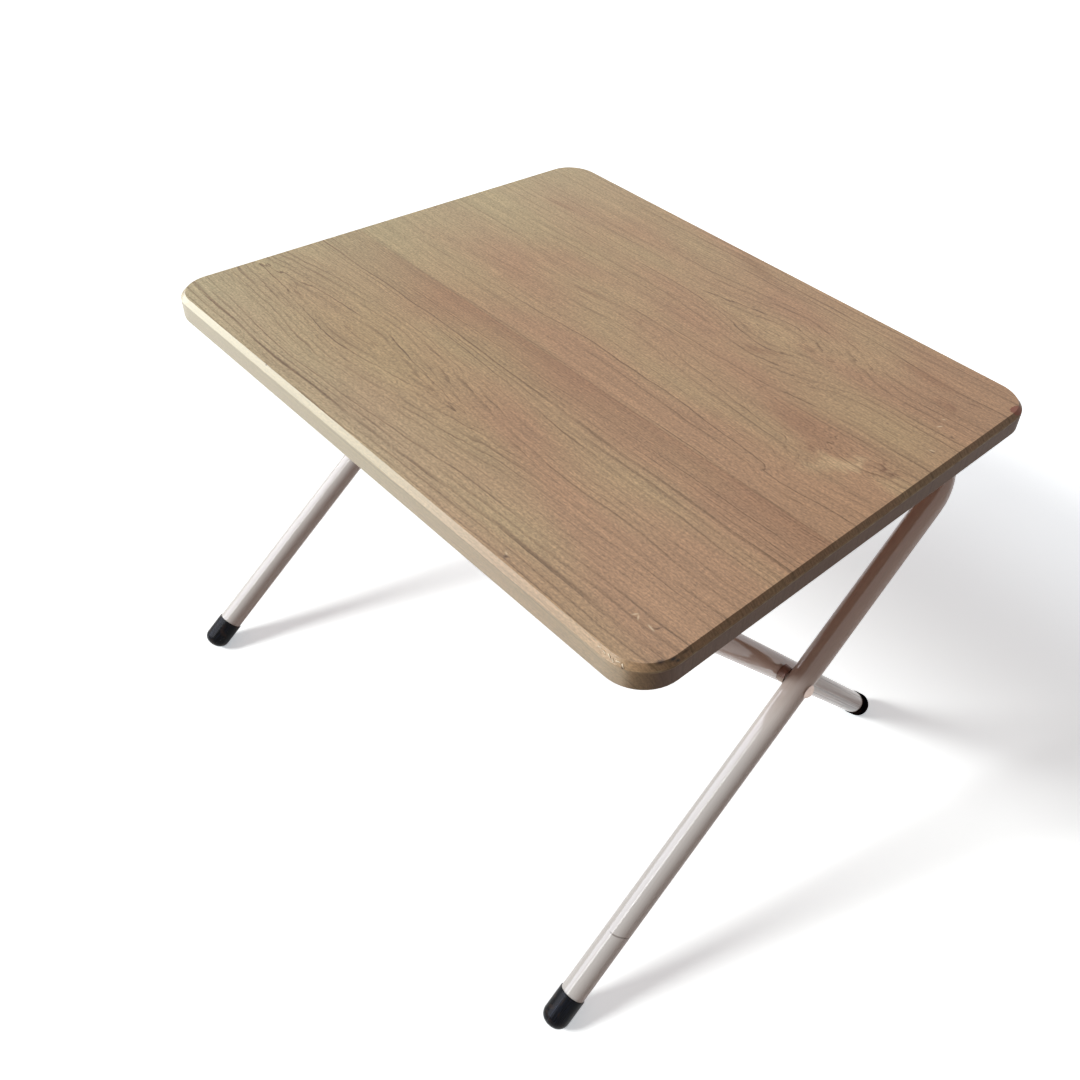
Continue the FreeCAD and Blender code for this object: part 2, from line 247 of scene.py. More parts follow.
window = soft_panel("window", (3.0, 2.6), 240, 33, 12.0, 0.76, "#FAFEFC")
window.visible_glossy = False
post = soft_panel("window_post", (0.30, 1.3), 264, 34, 2.0, 0.30, "#FFFFFF")
cloth = soft_panel("white_cloth", (2.9, 1.5), 222, 22, 2.2, 1.60, "#F0F3FF")
for mirrored in (post, cloth):
    mirrored.visible_diffuse = False
ceiling = soft_panel("ceiling", (2.2, 2.2), 150, 64, 3.0, 0.37, "#FFF8F2")

# The ceiling light leaves the floor out, so that the window alone throws shadows there.
floor_alone = bpy.data.collections.new("floor_alone")
floor_alone.objects.link(floor)
ceiling.light_linking.receiver_collection = floor_alone
floor_alone.collection_objects[0].light_linking.link_state = "EXCLUDE"

world = bpy.data.worlds.new("room")
bpy.context.scene.world = world
world.use_nodes = True
tree = world.node_tree
tree.nodes.clear()
behind = add(tree, "Mix", {"Factor": seen_directly(tree), "A": linear("#786C65"),
                           "B": linear("#FFFFFF")}, data_type="RGBA")
sky = add(tree, "Background", {"Color": behind.outputs["Result"], "Strength": 1.0})
add(tree, "OutputWorld", {"Surface": sky})
bpy.context.scene.view_settings.view_transform = "Standard"

# %% [markdown]
# The foil is one printed sheet, folded down over the edges. To let its grain run over the
# bevel and down the sides without a break, the pattern is read from an unfolded sheet: each point
# of a side is pushed outwards by its depth below the top, along the way that the side faces.

# %% The foil: an unfolded sheet in millimetres
foil, tree = new_finish("printed_wood_foil")
spot = add(tree, "TexCoord").outputs
middle_mm = [-board_middle.x / MM, -board_middle.y / MM, -board_top / MM]
place = add(tree, "Mapping", {"Vector": spot["Object"], "Location": middle_mm,
                              "Scale": (1 / MM, 1 / MM, 1 / MM)})
height = add(tree, "SeparateXYZ", {0: place}).outputs["Z"]
depth = add(tree, "Math", {0: height, 1: -1.0}, operation="MULTIPLY")
facing = add(tree, "VectorMath", {0: spot["Normal"], 1: (1, 1, 0)}, operation="MULTIPLY")
outward = add(tree, "VectorMath", {0: facing}, operation="NORMALIZE")
sheet = add(tree, "VectorMath", {0: outward, 1: depth, 2: place}, operation="MULTIPLY_ADD")
print("the sheet is measured from", [round(-v, 1) for v in middle_mm], "mm")

# %% [markdown]
# Grain never runs quite straight. Clouds of noise push the sheet about before the growth lines
# are drawn. The broadest lets the lines wander over a hand's width, the next makes them sway,
# and the two small ones give each line its tremble and fray the tips of the flames.

# %% The foil: wandering grain
def stretched_noise(tree, vector, length_mm, width_mm, detail=2.0, roughness=0.5):
    """Noise whose features are about this long along the grain and this wide across it."""
    scaled = add(tree, "Mapping", {"Vector": vector, "Scale": (1 / length_mm, 1 / width_mm, 0)})
    return add(tree, "TexNoise", {"Vector": scaled, "Scale": 1.0, "Detail": detail,
                                  "Roughness": roughness}).outputs


GRAIN_CLOUDS = (
    # length and width of a cloud, and how far it pushes along and across the grain, in mm
    (150, 40, (40, 11, 0)),
    (46, 14, (18, 3.0, 0)),
    (20, 5, (24, 1.0, 0)),
    (6, 1.6, (4, 0.4, 0)),
)
bent_sheet = sheet
for length_mm, width_mm, push_mm in GRAIN_CLOUDS:
    cloud = stretched_noise(tree, sheet, length_mm, width_mm)["Color"]
    centred = add(tree, "VectorMath", {0: cloud, 1: (0.5, 0.5, 0.5)}, operation="SUBTRACT")
    bent_sheet = add(tree, "VectorMath", {0: centred, 1: push_mm, 2: bent_sheet},
                     operation="MULTIPLY_ADD")
bent = add(tree, "SeparateXYZ", {0: bent_sheet}).outputs
straight = add(tree, "SeparateXYZ", {0: sheet}).outputs
print("the foil's sheet is ready, with", len(tree.nodes), "nodes")

# %% [markdown]
# The print shows three boards glued side by side. In the front and rear boards the saw cut
# through the growth rings almost along them, which draws flames: long rings about one middle,
# with a smooth back and pointed tips. Their reach is counted across the grain, and a distance
# along the grain counts for less, the further out the less, so that far out the lines run
# straight. A line that crosses the grain at a tip would swell, so each pattern also gives its
# steepness to thin the line.

# %% The foil: flames in the front and rear boards
LINE_MM = 1.5
JAG_MM = (34, 3.6)
JAGS_FADE_MM = (13.0, 2.0)
FLAME_HALF_WIDTH_MM = 75.0
TAIL_MM = 14.0
STEEPNESS_FLOOR = 0.4


def softened(distance, radius):
    """A distance in mm without its corner at nought, and the same with the radius added."""
    squared = add(tree, "Math", {0: distance, 1: distance}, operation="MULTIPLY")
    squared = add(tree, "Math", {0: squared, 1: radius * radius}, operation="ADD")
    length = add(tree, "Math", {0: squared}, operation="SQRT")
    return add(tree, "Math", {0: length, 1: radius}, operation="SUBTRACT"), length


def flames(middle, left, right, ring_mm, tip_mm, back_mm, fray_mm):
    """Growth rings counted outwards from a flame's middle, and a line's width in rings. Left and
    right are pairs: how many mm along the grain count as one across, and the most that the
    flame pushes the lines apart there. The tips are rounded and frayed, the backs rounded."""
    along = add(tree, "Math", {0: bent["X"], 1: -middle[0]}, operation="ADD")
    across = add(tree, "Math", {0: bent["Y"], 1: -middle[1]}, operation="ADD")
    across = add(tree, "Math", {0: across}, operation="ABSOLUTE")
    jags = stretched_noise(tree, sheet, *JAG_MM, 1.0)["Fac"]
    jags = add(tree, "Math", {0: jags, 1: 0.5}, operation="SUBTRACT")
    near_axis = add(tree, "MapRange", {"Value": across, "From Min": JAGS_FADE_MM[0],
                                       "From Max": JAGS_FADE_MM[1], "To Max": fray_mm},
                    interpolation_type="SMOOTHSTEP")
    along = add(tree, "Math", {0: jags, 1: near_axis, 2: along}, operation="MULTIPLY_ADD")
    side = {"Value": along, "From Min": -back_mm, "From Max": back_mm}
    stretch = add(tree, "MapRange", {**side, "To Min": left[0], "To Max": right[0]})
    most = add(tree, "MapRange", {**side, "To Min": left[1], "To Max": right[1]})
    push = softened(along, back_mm)[0]
    push = add(tree, "Math", {0: push, 1: stretch}, operation="DIVIDE")
    push = add(tree, "Math", {0: push, 1: most, 2: TAIL_MM}, operation="SMOOTH_MIN")
    grown, length = softened(across, tip_mm)
    steep = add(tree, "Math", {0: across, 1: length}, operation="DIVIDE")
    # Towards the edges of its board the lines run straight.
    felt = add(tree, "MapRange", {"Value": grown, "From Min": FLAME_HALF_WIDTH_MM, "From Max": 0.0},
               interpolation_type="SMOOTHSTEP")
    reach = add(tree, "Math", {0: push, 1: felt, 2: grown}, operation="MULTIPLY_ADD")
    steep = add(tree, "Math", {0: steep, 1: STEEPNESS_FLOOR}, operation="MAXIMUM")
    width = add(tree, "Math", {0: steep, 1: LINE_MM / ring_mm}, operation="MULTIPLY")
    rings = add(tree, "Math", {0: reach, 1: ring_mm}, operation="DIVIDE")
    return rings, width


FRONT_SEAM_Y = -39.3
REAR_SEAM_Y = 53.3
FRONT_FLAME = (-110, -128)
REAR_FLAME = (72, 115)
CROWDING_Y = -82.0
CROWDING = 0.0035
front_rings, front_width = flames(FRONT_FLAME, (7.2, 20), (6.6, 26), 4.6, 1.8, 10, 70)
rear_rings, rear_width = flames(REAR_FLAME, (4.0, 15), (2.7, 30), 5.4, 1.0, 8, 16)

# Towards the seam the front board's rings crowd together.
crowd = add(tree, "Math", {0: bent["Y"], 1: -CROWDING_Y}, operation="ADD")
crowd = add(tree, "Math", {0: crowd, 1: 0.0}, operation="MAXIMUM")
crowd = add(tree, "Math", {0: crowd, 1: crowd}, operation="MULTIPLY")
front_rings = add(tree, "Math", {0: crowd, 1: CROWDING, 2: front_rings},
                  operation="MULTIPLY_ADD")
print("the flames are", round(FRONT_SEAM_Y - FRONT_FLAME[1], 1), "and",
      round(REAR_FLAME[1] - REAR_SEAM_Y, 1), "mm from their seams")

# %% [markdown]
# The middle board's lines rise over a low hill at the middle of the table and slope down to the
# right. Near the right-hand end they drop, where the tree grew round a branch. One number says
# how far the lines have spread from the front seam at each place along the board.

# %% The foil: the middle board's long slopes
ARCH_RING_MM = 9.0
HILL_X = -5.0
HILL_HALF_LENGTH_MM = 48.0
HILL_HEIGHT = 0.20
SLOPES = ((50, 172, -0.12), (160, 196, -0.26), (200, 250, 0.08))
hill = add(tree, "Math", {0: bent["X"], 1: -HILL_X}, operation="ADD")
hill = add(tree, "Math", {0: hill, 1: HILL_HALF_LENGTH_MM}, operation="DIVIDE")
hill = add(tree, "Math", {0: hill, 1: hill, 2: 1.0}, operation="MULTIPLY_ADD")
spread = add(tree, "Math", {0: HILL_HEIGHT, 1: hill}, operation="DIVIDE")
for start_x, end_x, change in SLOPES:
    step = add(tree, "MapRange", {"Value": bent["X"], "From Min": start_x, "From Max": end_x,
                                  "To Max": change}, interpolation_type="SMOOTHSTEP")
    spread = add(tree, "Math", {0: spread, 1: step}, operation="ADD")
spread = add(tree, "Math", {0: spread, 1: 1.0}, operation="ADD")
from_seam = add(tree, "Math", {0: bent["Y"], 1: -FRONT_SEAM_Y}, operation="ADD")
arch_rings = add(tree, "Math", {0: from_seam, 1: spread}, operation="DIVIDE")
arch_rings = add(tree, "Math", {0: arch_rings, 1: ARCH_RING_MM}, operation="DIVIDE")
print("the middle board's lines wander by", len(SLOPES), "slopes and a hill")

# %% [markdown]
# The glue lines between the boards are dead straight, so they are read from the sheet as it was
# before the clouds bent it. Behind each one the next board's rings take over.

# %% The foil: one board after another
behind_front = add(tree, "Math", {0: straight["Y"], 1: FRONT_SEAM_Y},
                   operation="GREATER_THAN")
behind_rear = add(tree, "Math", {0: straight["Y"], 1: REAR_SEAM_Y},
                  operation="GREATER_THAN")
rings = add(tree, "Mix", {"Factor": behind_front, "A": front_rings, "B": arch_rings})
rings = add(tree, "Mix", {"Factor": behind_rear, "A": rings, "B": rear_rings})
width = add(tree, "Mix", {"Factor": behind_front, "A": front_width,
                          "B": LINE_MM / ARCH_RING_MM})
width = add(tree, "Mix", {"Factor": behind_rear, "A": width, "B": rear_width})
print("three boards, with seams at", FRONT_SEAM_Y, "and", REAR_SEAM_Y, "mm")

# %% [markdown]
# A growth line darkens slowly through the summer and stops short at winter: a power of the
# ring's fraction gives the slow side, and a narrow step the thin dark line. No two rings are as
# wide or as dark as each other, and lines fade in and out along the grain. A second, finer
# family fills the space between them.

# %% The foil: growth lines
SUMMER_POWER = 3.0
SUMMER_SHARE = 0.36
WINTER_SHARE = 0.65
FAINTEST_RING = 0.25


def growth_lines(rings, width, seed):
    """How dark the print is at a ring count, from 0 to 1."""
    uneven = add(tree, "TexNoise", {"W": rings, "Scale": 0.8, "Detail": 1.0}, noise_dimensions="1D")
    rings = add(tree, "Math", {0: uneven.outputs["Fac"], 1: rings}, operation="ADD")
    part = add(tree, "Math", {0: rings}, operation="FRACT")
    slow = add(tree, "Math", {0: part, 1: SUMMER_POWER}, operation="POWER")
    line_start = add(tree, "Math", {0: 1.0, 1: width}, operation="SUBTRACT")
    line_full = add(tree, "Math", {0: width, 1: -0.4, 2: 1.0}, operation="MULTIPLY_ADD")
    thin = add(tree, "MapRange", {"Value": part, "From Min": line_start, "From Max": line_full},
               interpolation_type="SMOOTHSTEP")
    whole = add(tree, "Math", {0: rings}, operation="FLOOR")
    ring_seed = add(tree, "Math", {0: whole, 1: seed}, operation="ADD")
    chance = add(tree, "TexWhiteNoise", {"W": ring_seed}, noise_dimensions="1D").outputs["Value"]
    strength = add(tree, "MapRange", {"Value": chance, "To Min": FAINTEST_RING, "To Max": 1.0})
    line = add(tree, "Math", {0: slow, 1: SUMMER_SHARE}, operation="MULTIPLY")
    line = add(tree, "Math", {0: thin, 1: WINTER_SHARE, 2: line}, operation="MULTIPLY_ADD")
    return add(tree, "Math", {0: line, 1: strength}, operation="MULTIPLY")


FINE_LINES_PER_RING = 2.4
FINE_SHARE = 0.30
main_lines = growth_lines(rings, width, 3.0)
fine_rings = add(tree, "Math", {0: rings, 1: FINE_LINES_PER_RING}, operation="MULTIPLY")
fine_width = add(tree, "Math", {0: width, 1: FINE_LINES_PER_RING * 0.75},
                 operation="MULTIPLY")
fine_lines = growth_lines(fine_rings, fine_width, 11.0)
fade_cloud = stretched_noise(tree, sheet, 90, 7)["Fac"]
fade = add(tree, "MapRange", {"Value": fade_cloud, "From Min": 0.36, "From Max": 0.60,
                              "To Min": 0.3, "To Max": 1.0})
# The middle and rear boards are calm at the left and livelier towards the right.
calm = add(tree, "MapRange", {"Value": straight["X"], "From Min": -170.0, "From Max": 60.0,
                              "To Min": 0.5, "To Max": 1.0})
calm = add(tree, "Mix", {"Factor": behind_front, "A": 1.0, "B": calm})
fade = add(tree, "Math", {0: fade, 1: calm}, operation="MULTIPLY")
faint = add(tree, "Math", {0: fine_lines, 1: FINE_SHARE}, operation="MULTIPLY")
lines = add(tree, "Math", {0: main_lines, 1: faint}, operation="ADD")
lines = add(tree, "Math", {0: lines, 1: fade}, operation="MULTIPLY", use_clamp=True)
print("growth lines are about", LINE_MM, "mm wide and", ARCH_RING_MM, "mm apart in the middle board")

# %% [markdown]
# Close up, the print has short dark pores that lie along the grain, fibres of two lengths
# between them, and the speckle of the printing cylinder. All are drawn a little coarser than
# real, so that they show at a step away.

# %% The foil: fibres, pores and speckle
FIBRE_MM = (15, 1.2)
LONG_FIBRE_MM = (90, 2.4)
BAND_MM = (150, 9)
SPECKLE_MM = (2.3, 1.3)
PORE_MM = (5.5, 0.6)
fibres = stretched_noise(tree, sheet, *FIBRE_MM, 3.0, 0.65)["Fac"]
long_fibres = stretched_noise(tree, bent_sheet, *LONG_FIBRE_MM)["Fac"]
bands = stretched_noise(tree, bent_sheet, *BAND_MM)["Fac"]
speckle = stretched_noise(tree, sheet, *SPECKLE_MM, 2.0, 0.6)["Fac"]
pore_noise = stretched_noise(tree, sheet, *PORE_MM, 0.0)["Fac"]
pores = add(tree, "MapRange", {"Value": pore_noise, "From Min": 0.64, "From Max": 0.80})
pore_cloud = stretched_noise(tree, sheet, 90, 22)["Fac"]
pore_patches = add(tree, "MapRange", {"Value": pore_cloud, "From Min": 0.42, "From Max": 0.62,
                                      "To Min": 0.1, "To Max": 0.6})
pores = add(tree, "Math", {0: pores, 1: pore_patches}, operation="MULTIPLY")
shade = 1.0
for noise, spread_of_tone in ((fibres, 0.17), (long_fibres, 0.08), (bands, 0.06), (speckle, 0.27)):
    tone = add(tree, "MapRange", {"Value": noise, "From Min": 0.3, "From Max": 0.7,
                                  "To Min": 1.0 - spread_of_tone, "To Max": 1.0 + spread_of_tone})
    shade = add(tree, "Math", {0: tone, 1: shade}, operation="MULTIPLY")
print("length and width of fibres", FIBRE_MM, "long ones", LONG_FIBRE_MM, "pores", PORE_MM, "mm")

# %% [markdown]
# The print's ground wanders a little between a straw colour and a pinkish tan, and it is also painted
# warmer and darker towards the right, as painted shade away from the window. It is reddest in a strip
# along the front seam. At the left end and along the left part of the front edge it is painted paler, as
# painted window light. Where the tree grew round a branch, the wood is dark and red on one side of the
# swirl and pale on the other, and the rear flame has a pale eye. The ovals are placed on the sheet in
# millimetres from the middle of the top, and each lays its tint over the ones before it.

# %% The foil: colour
DEPTH_LIMIT_MM = 60.0


def oval(middle_x, middle_y, half_length, half_width, lean=0.0, ragged=0.0):
    """A soft oval on the sheet, from 1 at its middle to 0 at its edge, which fibres can fray. It
    runs on over the bevel, as the sheet does, because depth hardly counts."""
    placed = add(tree, "Mapping", {"Vector": bent_sheet if ragged else sheet,
                                   "Location": (middle_x, middle_y, 0),
                                   "Rotation": (0, 0, math.radians(lean)),
                                   "Scale": (half_length, half_width, DEPTH_LIMIT_MM)},
                 vector_type="TEXTURE")
    away = add(tree, "VectorMath", {0: placed}, operation="LENGTH").outputs["Value"]
    if ragged:
        away = add(tree, "Math", {0: long_fibres, 1: ragged, 2: away},
                   operation="MULTIPLY_ADD")
    return add(tree, "MapRange", {"Value": away, "From Min": 1.0 + ragged / 2,
                                  "From Max": ragged / 2}, interpolation_type="SMOOTHSTEP")


# Painted shade: the ground turns warmer and darker towards the right, away from the window. The cloud adds
# random tone.
SHADED_WARMER_PER_MM = 0.0004
REDDER_FROM_Y = -84.0
warmth_cloud = stretched_noise(tree, sheet, 170, 55, 1.0)["Fac"]
warmth = add(tree, "Math", {0: straight["X"], 1: SHADED_WARMER_PER_MM, 2: warmth_cloud},
             operation="MULTIPLY_ADD")
warmth = add(tree, "MapRange", {"Value": warmth, "From Min": 0.30, "From Max": 0.62})
paper = add(tree, "Mix", {"Factor": warmth, "A": linear("#B09874"), "B": linear("#AC896B")},
            data_type="RGBA").outputs["Result"]
near_seam = add(tree, "MapRange", {"Value": straight["Y"], "From Min": REDDER_FROM_Y,
                                   "From Max": FRONT_SEAM_Y})
strip = add(tree, "Math", {0: near_seam, 1: behind_front}, operation="SUBTRACT", use_clamp=True)
paper = tinted_in(tree, paper, strip, "#9A7256", 0.6)
left_end, front_edge, left_part = [
    add(tree, "MapRange", {"Value": straight[axis], "From Min": start, "From Max": end})
    for axis, start, end in (("X", -120.0, -250.0), ("Y", -130.0, -200.0), ("X", 170.0, 0.0))]
# Painted window light: the left end and the left part of the front edge are tinted paler.
paper = tinted_in(tree, paper, left_end, "#B4AC88", 0.55)
front_left = add(tree, "Math", {0: front_edge, 1: left_part}, operation="MULTIPLY")
paper = tinted_in(tree, paper, front_left, "#BDB596", 0.55)
FRAYED = 1.0
FIGURE = (
    # middle, half length and half width, lean, tint and strength of each patch
    # the swirl at the right-hand end of the middle board
    (162, 41, 58, 21, -12, "#8F654A", 0.40),
    (199, 22, 31, 12, 68, "#CAB28C", 0.50),
    (206, 34, 20, 7, 72, "#D4BD98", 0.40),
    (221, 44, 11, 4, -66, "#6E4832", 0.80),
    (229, 42, 10, 4, 68, "#6E4832", 0.75),
    (238, 34, 22, 13, 0, "#C2A984", 0.45),
    (181, 24, 13, 5, 40, "#7F583F", 0.45),
    # the rear board: the flame's pale eye, the dark round it, and clouds towards the ends
    (74, 115, 34, 17, 0, "#BDA47E", 0.50),
    (77, 88, 24, 8, 34, "#8A664A", 0.55),
    (101, 118, 17, 6, -32, "#8F6B4E", 0.30),
    (-4, 182, 44, 13, -18, "#8F6B4C", 0.50),
    (178, 161, 40, 10, 0, "#8F6548", 0.45),
    (214, 141, 16, 9, -24, "#8C6247", 0.40),
    (-186, 127, 24, 6, 10, "#8C664B", 0.35),
    # the small curls that run across the middle of the table
    (-60, 42, 26, 5, 12, "#8C664B", 0.40),
    (-13, 92, 8, 3.2, 50, "#7E5C42", 0.50),
    (-4, 80, 6, 2.6, -60, "#7E5C42", 0.45),
    (-2, 68, 7, 2.6, 68, "#7E5C42", 0.50),
    (-3, 45, 9, 3.0, 55, "#7E5C42", 0.50),
)
for *sizes, tint, strength in FIGURE:
    paper = tinted_in(tree, paper, oval(*sizes, FRAYED), tint, strength)
printed = tinted_in(tree, paper, lines, "#6A4F35", 0.90)
for seam_y, from_x, strength in ((FRONT_SEAM_Y, -900, 0.40), (REAR_SEAM_Y, -120, 0.45)):
    joint = line_at(tree, straight["Y"], seam_y, 0.9, 0.2)
    reach = add(tree, "MapRange", {"Value": straight["X"], "From Min": from_x, "From Max": 160.0,
                                   "To Min": 0.15})
    joint = add(tree, "Math", {0: joint, 1: reach}, operation="MULTIPLY")
    printed = tinted_in(tree, printed, joint, "#6A4F35", strength)
printed = tinted_in(tree, printed, pores, "#6E5339", 1.0)
printed = add(tree, "Mix", {"Factor": 1.0, "A": printed, "B": shade},
              data_type="RGBA", blend_type="MULTIPLY").outputs["Result"]
print("the foil has", len(tree.nodes), "nodes")

# %% [markdown]
# The foil was stretched hot over the edges. Along the two long sides it is tinted paler, as painted
# highlight and sheen from the window: the bevel almost to ivory at the left and less and less towards the
# right, the side below it more mildly. At the two short ends it is tinted darker, as painted shade: olive
# on the bevel, reddish below, with a thin painted highlight where the two meet. There it has also lost its
# gloss to hands and sleeves. Knocks are small ovals of a pale or a dark tint, and the deeper ones are
# dents in the relief too; on a dent the dark tint is painted shade in the hollow.

# %% The foil: surface
facing_parts = add(tree, "SeparateXYZ", {0: spot["Normal"]}).outputs


def facing_share(part, low, high):
    """Grows from 0 to 1 as the surface turns towards one axis, either way. The limits are the
    normal's part along the axis: about 0.71 on the bevel and 1 on a side."""
    size = add(tree, "Math", {0: facing_parts[part]}, operation="ABSOLUTE")
    return add(tree, "MapRange", {"Value": size, "From Min": low, "From Max": high},
               interpolation_type="SMOOTHSTEP")


# Painted highlight and sheen: the long sides' bevel and face are tinted paler, most at the left.
at_side = facing_share("Y", 0.58, 0.70)
upright = facing_share("Y", 0.80, 0.96)
bevel_highlight = add(tree, "Math", {0: at_side, 1: upright}, operation="SUBTRACT")
bevel_highlight_fade = add(tree, "MapRange", {"Value": straight["X"], "From Min": -240.0, "From Max": 224.0,
                                  "To Min": 1.0, "To Max": 0.06})
bevel_highlight = add(tree, "Math", {0: bevel_highlight, 1: bevel_highlight_fade}, operation="MULTIPLY")
printed = tinted_in(tree, printed, bevel_highlight, "#E6E3C9", 0.75)
side_sheen_fade = add(tree, "MapRange", {"Value": straight["X"], "From Min": -240.0, "From Max": 228.0,
                                   "To Min": 1.0, "To Max": 0.50})
side_sheen = add(tree, "Math", {0: upright, 1: side_sheen_fade}, operation="MULTIPLY")
printed = tinted_in(tree, printed, side_sheen, "#E0DCC8", 0.74)
# Painted shade: the short ends are tinted darker, olive on the bevel and reddish below.
at_end = facing_share("X", 0.35, 0.68)
below_bevel = facing_share("X", 0.76, 0.94)
printed = tinted_in(tree, printed, at_end, "#3A3018", 0.62)
printed = tinted_in(tree, printed, below_bevel, "#3E1E10", 0.62)
BEVEL_MM = 3.5
# A painted highlight along the ridge where the bevel meets the side at the ends.
ridge_highlight = line_at(tree, depth, BEVEL_MM + 0.3, 0.9, 0.3)
for share in (at_end, fade):
    ridge_highlight = add(tree, "Math", {0: ridge_highlight, 1: share}, operation="MULTIPLY")
printed = tinted_in(tree, printed, ridge_highlight, "#A08F74", 0.75)
MARKS = (
    # Where a pale and a dark oval pair up on a dent, the pale one is creased foil and the dark one painted
    # shade in the hollow.
    # middle, half length and half width, lean, tint and strength of each knock
    # two dents near the right front corner
    (211.6, -168.4, 3.2, 1.0, 60, "#DCC6A6", 0.80),
    (214.4, -168.8, 3.0, 1.0, -50, "#DCC6A6", 0.75),
    (213.2, -170.0, 2.2, 0.9, 10, "#6B5038", 0.70),
    (224.4, -168.9, 4.2, 1.0, -8, "#E4D2B6", 0.85),
    (227.2, -166.3, 3.8, 1.0, 72, "#5E4430", 0.90),
    (226.0, -167.6, 3.2, 1.0, 30, "#6B5038", 0.75),
    # nicks near the right-hand end, at the left and along the front edge
    (233.6, 86.4, 3.8, 1.0, 20, "#DCC8A8", 0.75),
    (235.0, 85.0, 2.8, 1.0, 10, "#5E4430", 0.80),
    (233.6, 111.0, 1.8, 1.1, 0, "#5E4430", 0.70),
    (196.0, 88.0, 1.5, 1.2, 0, "#5E4430", 0.70),
    (-116.0, -197.0, 1.5, 1.2, 0, "#3B281A", 0.95),
    (132.3, -192.6, 2.8, 1.9, 15, "#4A3223", 0.90),
    (130.4, -190.8, 2.4, 1.0, -20, "#DCC8A8", 0.75),
    (233.8, -200.5, 1.7, 1.4, 0, "#2E1D13", 0.95),
    # chips on the bevel of the right front corner: real notches, near black as painted shade in them
    (244.7, -182.2, 4.8, 3.0, 62, "#2A180E", 1.0),
    (247.8, -175.2, 4.4, 2.6, 78, "#120904", 1.0),
    (250.6, -173.2, 2.8, 2.0, 70, "#120904", 1.0),
    (248.4, -166.2, 5.0, 1.7, 88, "#34200F", 0.9),
    # scrapes towards the right rear corner
    (221.5, 114.5, 3.6, 0.9, 62, "#E4D2B6", 0.80),
    (218.6, 123.9, 2.2, 0.9, 20, "#E4D2B6", 0.70),
    (234.3, 109.8, 2.6, 1.2, 30, "#5E4430", 0.80),
    (214.5, 141.7, 6.0, 2.2, -20, "#7A5540", 0.55),
    (222.5, 156.5, 8.0, 1.3, 24, "#6B4A35", 0.60),
)
for *sizes, tint, strength in MARKS:
    printed = tinted_in(tree, printed, oval(*sizes), tint, strength)
# The foil is torn away at the right rear corner, down to the reddish board.
TORN_PATCH = (247.0, 178.0, 11.0, 7.2, 74)
torn = oval(*TORN_PATCH)
torn = add(tree, "Math", {0: speckle, 1: 0.5, 2: torn}, operation="MULTIPLY_ADD")
torn = add(tree, "MapRange", {"Value": torn, "From Min": 0.46, "From Max": 0.56})
printed = tinted_in(tree, printed, torn, "#7C4431", 0.95)
gloss = add(tree, "MapRange", {"Value": at_end, "To Min": 0.34, "To Max": 0.60})
relief = add(tree, "Math", {0: fibres, 1: speckle}, operation="ADD")
DENT_DEPTH = 9.0
DENTS = (
    # middle, half length and half width, and lean of each dent
    (213.9, -169.1, 4.0, 2.6, 0),
    (225.8, -167.2, 4.4, 2.4, 30),
    (234.1, 85.8, 4.2, 2.2, 15),
    (132.3, -192.6, 3.0, 2.2, 15),
    (244.9, -181.2, 3.4, 1.6, 66),
    (248.2, -174.4, 3.4, 1.5, 82),
)
for sizes in DENTS:
    relief = add(tree, "Math", {0: oval(*sizes), 1: -DENT_DEPTH, 2: relief},
                 operation="MULTIPLY_ADD")
emboss = add(tree, "Bump", {"Strength": 0.3, "Distance": 0.05 * MM, "Height": relief})
shader = add(tree, "BsdfPrincipled", {"Base Color": printed, "Roughness": gloss, "IOR": 1.5,
                                      "Specular IOR Level": 0.36, "Normal": emboss})
add(tree, "OutputMaterial", {"Surface": shader})
dress(foil, "board_foil")
print("the foil's finish has", len(tree.nodes), "nodes and", len(MARKS), "knocks")

# %% [markdown]
# Near the front corner the foil has cracked on the bevel, and small flakes have curled up. Paint
# can't lift off a surface, so each flake is a real sliver: a little grid laid on the bevel,
# tapered and curled row by row in edit mode, and then given the thickness of the foil.

# %% The lifted flakes of foil
CORNER_RADIUS_MM = 28.0
FLAKE_THICKNESS_MM = 0.12
FLAKE_ROWS = 6
FLAKE_CROWN_MM = 0.16
FLAKE_TAPER = 0.75
BEVEL_SLOPE = math.radians(45)
# Crinkled ivory: the bare back of the foil catches the light beside the brown print.
flake_finish = mottled_finish("lifted_foil", "#BCA583", "#EFE4CC", {"Scale": 900.0, "Detail": 3.0},
                              (0.5, 0.1), Roughness=0.4)


def select_points(mesh, wanted):
    """Selects in edit mode the points whose place passes a test."""
    shape = bmesh.from_edit_mesh(mesh)
    for point in shape.verts:
        point.select = wanted(point.co)
    shape.select_flush_mode()
    bmesh.update_edit_mesh(mesh)


